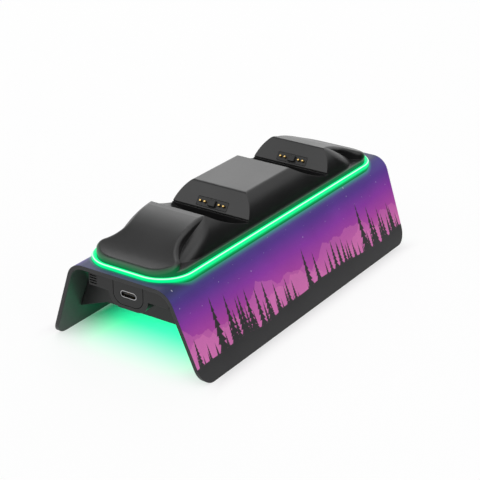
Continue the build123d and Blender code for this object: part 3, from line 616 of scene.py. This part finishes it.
class DOCK_OT_contacts(bpy.types.Operator):
    """Plate the sprung pins and give their barrels turned brass"""

    bl_idname = "dock.contacts"
    bl_label = "Sprung contacts"

    def execute(self, context):
        finish = context.scene.dock_finish
        gold = plated_metal("gold_plate", finish.gold, polish=0.22, line=0.15 * MM)
        dress(gold, *(f"contact_pin_{name}_{number}" for name in STATIONS for number in PIN_NUMBERS))
        brass = plated_metal("turned_brass", finish.brass, polish=0.30, line=0.10 * MM)
        dress(brass, *(f"contact_barrels_{name}" for name in STATIONS))
        return {"FINISHED"}


def tongue_strips(low, high):
    """Points and faces of the strips on both faces of the inlet's tongue.

    A strip is an oval carried along X, whose size shrinks by sqrt(1 - |2u - 1|^fullness) towards its ends,
    where a flat cap closes it. The grid's axes are the tongue's face, the strip, the station u and the turn
    round the oval.
    """
    strips, pitch, start, run = 12, 0.5 * MM, 0.25 * MM, 3.6 * MM
    half_width, half_height = 0.13 * MM, 0.05 * MM
    stations, corners, fullness, end_cut = 9, 8, 6, 0.02
    turn = np.linspace(0, 2 * pi, corners, endpoint=False)
    along = np.linspace(end_cut, 1 - end_cut, stations)[:, None]
    shrink = np.sqrt(1 - np.abs(2 * along - 1) ** fullness)
    face = np.array([low.z, high.z])[:, None, None, None]
    middle = ((np.arange(strips) - (strips - 1) / 2) * pitch)[:, None, None]
    x = low.x + start + run * along
    y = middle + half_width * shrink * np.cos(turn)
    z = face + half_height * shrink * np.sin(turn)
    points = np.stack(np.broadcast_arrays(x, y, z), axis=-1)
    number = np.arange(points[..., 0].size).reshape(-1, stations, corners)
    beside = np.roll(number, -1, axis=2)
    sides = np.stack([number[:, :-1], beside[:, :-1], beside[:, 1:], number[:, 1:]], axis=-1).reshape(-1, 4)
    caps = np.concatenate([number[:, 0, ::-1], number[:, -1]])
    return points.reshape(-1, 3), sides.tolist() + caps.tolist()


class DOCK_OT_inlet(bpy.types.Operator):
    """Finish the power inlet and lay the strips on its tongue"""

    bl_idname = "dock.inlet"
    bl_label = "Power inlet"

    def execute(self, context):
        finish = context.scene.dock_finish
        steel = plated_metal("drawn_steel", finish.steel, polish=0.32, line=0.12 * MM)
        dress(steel, "usb_shell")
        tongue = moulded_plastic("tongue_black", finish.insert, polish=0.35, depth=0.01 * MM, specular=0.5)
        dress(tongue, "usb_tongue")
        points, faces = tongue_strips(*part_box("usb_tongue"))
        strips = add_mesh("tongue_contacts", points, faces, bpy.data.materials["gold_plate"])
        strips.data.shade_smooth()
        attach(strips, BODY)
        return {"FINISHED"}


def tracked_board(finish):
    """Circuit board: solder resist with tracks beneath it, which follow the outlines of square cells."""
    cell, tracks, track_edge, track_end = 3.5 * MM, 4.0, 0.44, 0.52
    polish_size, least_polish, polish_range = 2 * MM, 0.2, 0.2
    material, graph, shader, place = start_material("solder_resist")
    inputs = {"Vector": place, "Scale": 1 / cell, "Randomness": 0.55}
    cells = graph.node("ShaderNodeTexVoronoi", inputs, distance="CHEBYCHEV", feature="F2").outputs["Distance"]
    track = graph.step(graph.math("FRACT", graph.math("MULTIPLY", cells, tracks)), track_edge, track_end)
    polish = graph.noise(place, polish_size)
    inputs = {
        "Base Color": graph.mix(track, finish.resist, finish.track),
        "Roughness": graph.math("MULTIPLY_ADD", polish, polish_range, least_polish),
    }
    graph.feed(shader, inputs)
    return material


class DOCK_OT_boards(bpy.types.Operator):
    """Finish the circuit boards with their chips, lamps and leads, and the screws"""

    bl_idname = "dock.boards"
    bl_label = "Circuit boards and screws"

    def execute(self, context):
        finish = context.scene.dock_finish
        contact_boards = [f"contact_board_{name}" for name in STATIONS]
        dress(tracked_board(finish), "main_board", "ring_board", "underglow_board", *contact_boards)
        chips = moulded_plastic("chip_package", finish.package, polish=0.55, depth=0.01 * MM, specular=0.4)
        dress(chips, "main_board_chips")
        lamps = moulded_plastic("lamp_package", finish.lamp, polish=0.35, depth=0.01 * MM, specular=0.5)
        dress(lamps, "ring_leds", "underglow_leds")
        sleeve = moulded_plastic("lead_sleeve", finish.sleeve, polish=0.6, depth=0.03 * MM, specular=0.4)
        dress(sleeve, *(f"harness_{name}" for name in STATIONS))
        zinc = plated_metal("zinc_plate", finish.zinc, polish=0.34, line=0.2 * MM)
        dress(zinc, "base_screws", "board_screws")
        return {"FINISHED"}


class DOCK_OT_underglow(bpy.types.Operator):
    """Light the lens under the tray"""

    bl_idname = "dock.underglow"
    bl_label = "Underglow"

    def execute(self, context):
        finish = context.scene.dock_finish
        cloud_size, dim_share = 5 * MM, 0.85
        lens_dark, lens_pale = (0.3, 0.5, 0.4, 1), (0.4, 0.6, 0.5, 1)
        material, graph, shader, place = start_material("lit_lens")
        cloud = graph.noise(place, cloud_size)
        inputs = {
            "Base Color": graph.mix(cloud, lens_dark, lens_pale),
            "Emission Color": graph.mix(cloud, shaded(finish.glow, dim_share), finish.glow),
            "Emission Strength": finish.lens_light,
            "Roughness": 0.45,
        }
        graph.feed(shader, inputs)
        dress(material, "underglow_lens")
        return {"FINISHED"}


def seen_rays(graph):
    """1 for rays that show a surface: from the camera, in a reflection or through glass."""
    rays = graph.node("ShaderNodeLightPath").outputs
    seen = graph.math("MAXIMUM", rays["Is Camera Ray"], rays["Is Glossy Ray"])
    return graph.math("MAXIMUM", seen, rays["Is Transmission Ray"])


def area_lamp(name, width, depth, radiance):
    """A flat lamp of the given sides and radiance, which the camera doesn't see."""
    data = bpy.data.lights.new(name, "AREA")
    data.shape = "RECTANGLE"
    data.size = width
    data.size_y = depth
    data.energy = radiance * pi * width * depth
    lamp = bpy.data.objects.new(name, data)
    bpy.context.scene.collection.objects.link(lamp)
    lamp.visible_camera = False
    return lamp


def softbox(name, towards, side, radiance, distance):
    """A square soft lamp that looks at the dock from the given direction and distance."""
    lamp = area_lamp(name, side, side, radiance)
    direction = Vector(towards).normalized()
    lamp.location = direction * distance
    lamp.rotation_euler = direction.to_track_quat("Z", "Y").to_euler()


def underglow_lamp(name, end, light, radiance):
    """A lamp in the tray's mouth at one end, which looks straight down at the floor."""
    width, depth = 46 * MM, 64 * MM
    mouth, height = 69 * MM, 11.5 * MM
    lamp = area_lamp(name, width, depth, radiance)
    lamp.data.color = light[:3]
    lamp.location = (end * mouth, 0, height)
    lamp.visible_glossy = False


def dark_card(name, profile, ends, shade):
    """A card that darkens reflections: a profile in Y and Z carried along X between two ends.

    It is seen in reflections alone, so it throws no shadow and shows in no picture.
    """
    cloud_size, dark_share, pale_share = 0.2, 0.85, 1.15
    grey = (shade, shade, shade)
    material, graph, shader, place = start_material(name)
    tint = graph.mix(graph.noise(place, cloud_size), shaded(grey, dark_share), shaded(grey, pale_share))
    graph.feed(shader, {"Base Color": tint, "Roughness": 1.0, "Specular IOR Level": 0.0})
    count = len(profile)
    points = np.stack([np.repeat(ends, count), *np.tile(profile, (2, 1)).T], axis=1)
    first = np.arange(count - 1)
    faces = np.stack([first, first + 1, first + 1 + count, first + count], axis=1)
    card = add_mesh(name, points, faces.tolist(), material)
    card.visible_camera = False
    card.visible_diffuse = False
    card.visible_transmission = False
    card.visible_shadow = False


def make_floor(stage):
    """A wide pale floor, lifted to white where it is seen outside the dock's outline.

    The lift fades out under the deck's ends, so that the underglow shows in the tray's mouths.
    """
    cloud_size, dim_share = 0.5, 0.99
    end_from, end_to = -38 * MM, 6 * MM
    side_from, side_to = -6 * MM, 10 * MM
    half_length, half_width, _ = CAD_BOX[1]
    material, graph, shader, place = start_material("pale_floor")
    dim = shaded(stage.floor_white, dim_share)
    pale = graph.mix(graph.noise(place, cloud_size), stage.floor_white, dim)
    graph.feed(shader, {"Base Color": pale, "Roughness": 1.0, "Specular IOR Level": 0.0})
    x, y, _ = graph.split(place)
    past_end = graph.step(graph.past(x, half_length), end_from, end_to)
    past_side = graph.step(graph.past(y, half_width), side_from, side_to)
    clear = graph.math("MAXIMUM", past_end, past_side)
    lift = graph.math("MULTIPLY", graph.math("MULTIPLY", seen_rays(graph), clear), stage.floor_lift)
    white = graph.node("ShaderNodeEmission").outputs[0]
    both = graph.node("ShaderNodeMixShader", {0: lift, 1: shader.outputs[0], 2: white}).outputs[0]
    graph.feed(material.node_tree.nodes["Material Output"], {"Surface": both})
    corners = np.array([[-1, -1, 0], [1, -1, 0], [1, 1, 0], [-1, 1, 0]]) * stage.floor_size / 2
    floor = add_mesh("floor", corners, [(0, 1, 2, 3)], material)


def make_world(scene, ambient):
    """An even light from all round, which is white where it is seen."""
    world = bpy.data.worlds.new("studio")
    world.use_nodes = True
    graph = Shader(world.node_tree)
    strength = graph.math("MULTIPLY_ADD", seen_rays(graph), 1.0 - ambient, ambient)
    graph.feed(world.node_tree.nodes["Background"], {"Color": WHITE, "Strength": strength})
    scene.world = world


def make_camera(scene, stage):
    """A camera that looks at its target from the given turn, height angle and distance."""
    data = bpy.data.cameras.new("camera")
    data.lens = stage.lens
    data.sensor_width = 36.0
    data.clip_start = 0.01
    camera = bpy.data.objects.new("camera", data)
    scene.collection.objects.link(camera)
    level = cos(stage.elevation)
    back = Vector((sin(stage.azimuth) * level, -cos(stage.azimuth) * level, sin(stage.elevation)))
    camera.location = Vector(stage.target) + back * stage.distance
    camera.rotation_euler = back.to_track_quat("Z", "Y").to_euler()
    scene.camera = camera


class DOCK_OT_stage(bpy.types.Operator):
    """Set the floor, the light and the camera"""

    bl_idname = "dock.stage"
    bl_label = "Stage"

    def execute(self, context):
        scene = context.scene
        stage = scene.dock_stage
        make_floor(stage)
        for card in CARDS:
            dark_card(*card)
        make_world(scene, stage.ambient)
        for box in SOFTBOXES:
            softbox(*box)
        for name, end in zip(STATIONS, (-1, 1)):
            underglow_lamp(f"underglow_{name}", end, scene.dock_finish.underglow, stage.mouth_light)
        make_camera(scene, stage)
        scene.view_settings.view_transform = "Standard"
        return {"FINISHED"}


OPERATORS = (
    DOCK_OT_effects, DOCK_OT_cover, DOCK_OT_ring, DOCK_OT_mouldings, DOCK_OT_contacts,
    DOCK_OT_inlet, DOCK_OT_boards, DOCK_OT_underglow, DOCK_OT_stage,
)
SETTINGS = {"dock_finish": DockFinish, "dock_print": DockPrint, "dock_stage": DockStage}


class DOCK_PT_panel(bpy.types.Panel):
    """Lists the dock's pieces and settings"""

    bl_label = "Charging dock"
    bl_space_type = "VIEW_3D"
    bl_region_type = "UI"
    bl_category = "Dock"

    def draw(self, context):
        for operator in OPERATORS:
            self.layout.operator(operator.bl_idname)
        for name, group in SETTINGS.items():
            box = self.layout.box()
            box.label(text=group.__doc__)
            for prop in group.__annotations__:
                box.prop(getattr(context.scene, name), prop)


CLASSES = (*SETTINGS.values(), *OPERATORS, DOCK_PT_panel)


def register():
    for item in CLASSES:
        bpy.utils.register_class(item)
    for name, group in SETTINGS.items():
        setattr(bpy.types.Scene, name, PointerProperty(type=group))


def unregister():
    for name in SETTINGS:
        delattr(bpy.types.Scene, name)
    for item in reversed(CLASSES):
        bpy.utils.unregister_class(item)


def main():
    register()
    for operator in OPERATORS:
        group, name = operator.bl_idname.split(".")
        getattr(getattr(bpy.ops, group), name)()


if __name__ == "__main__":
    main()
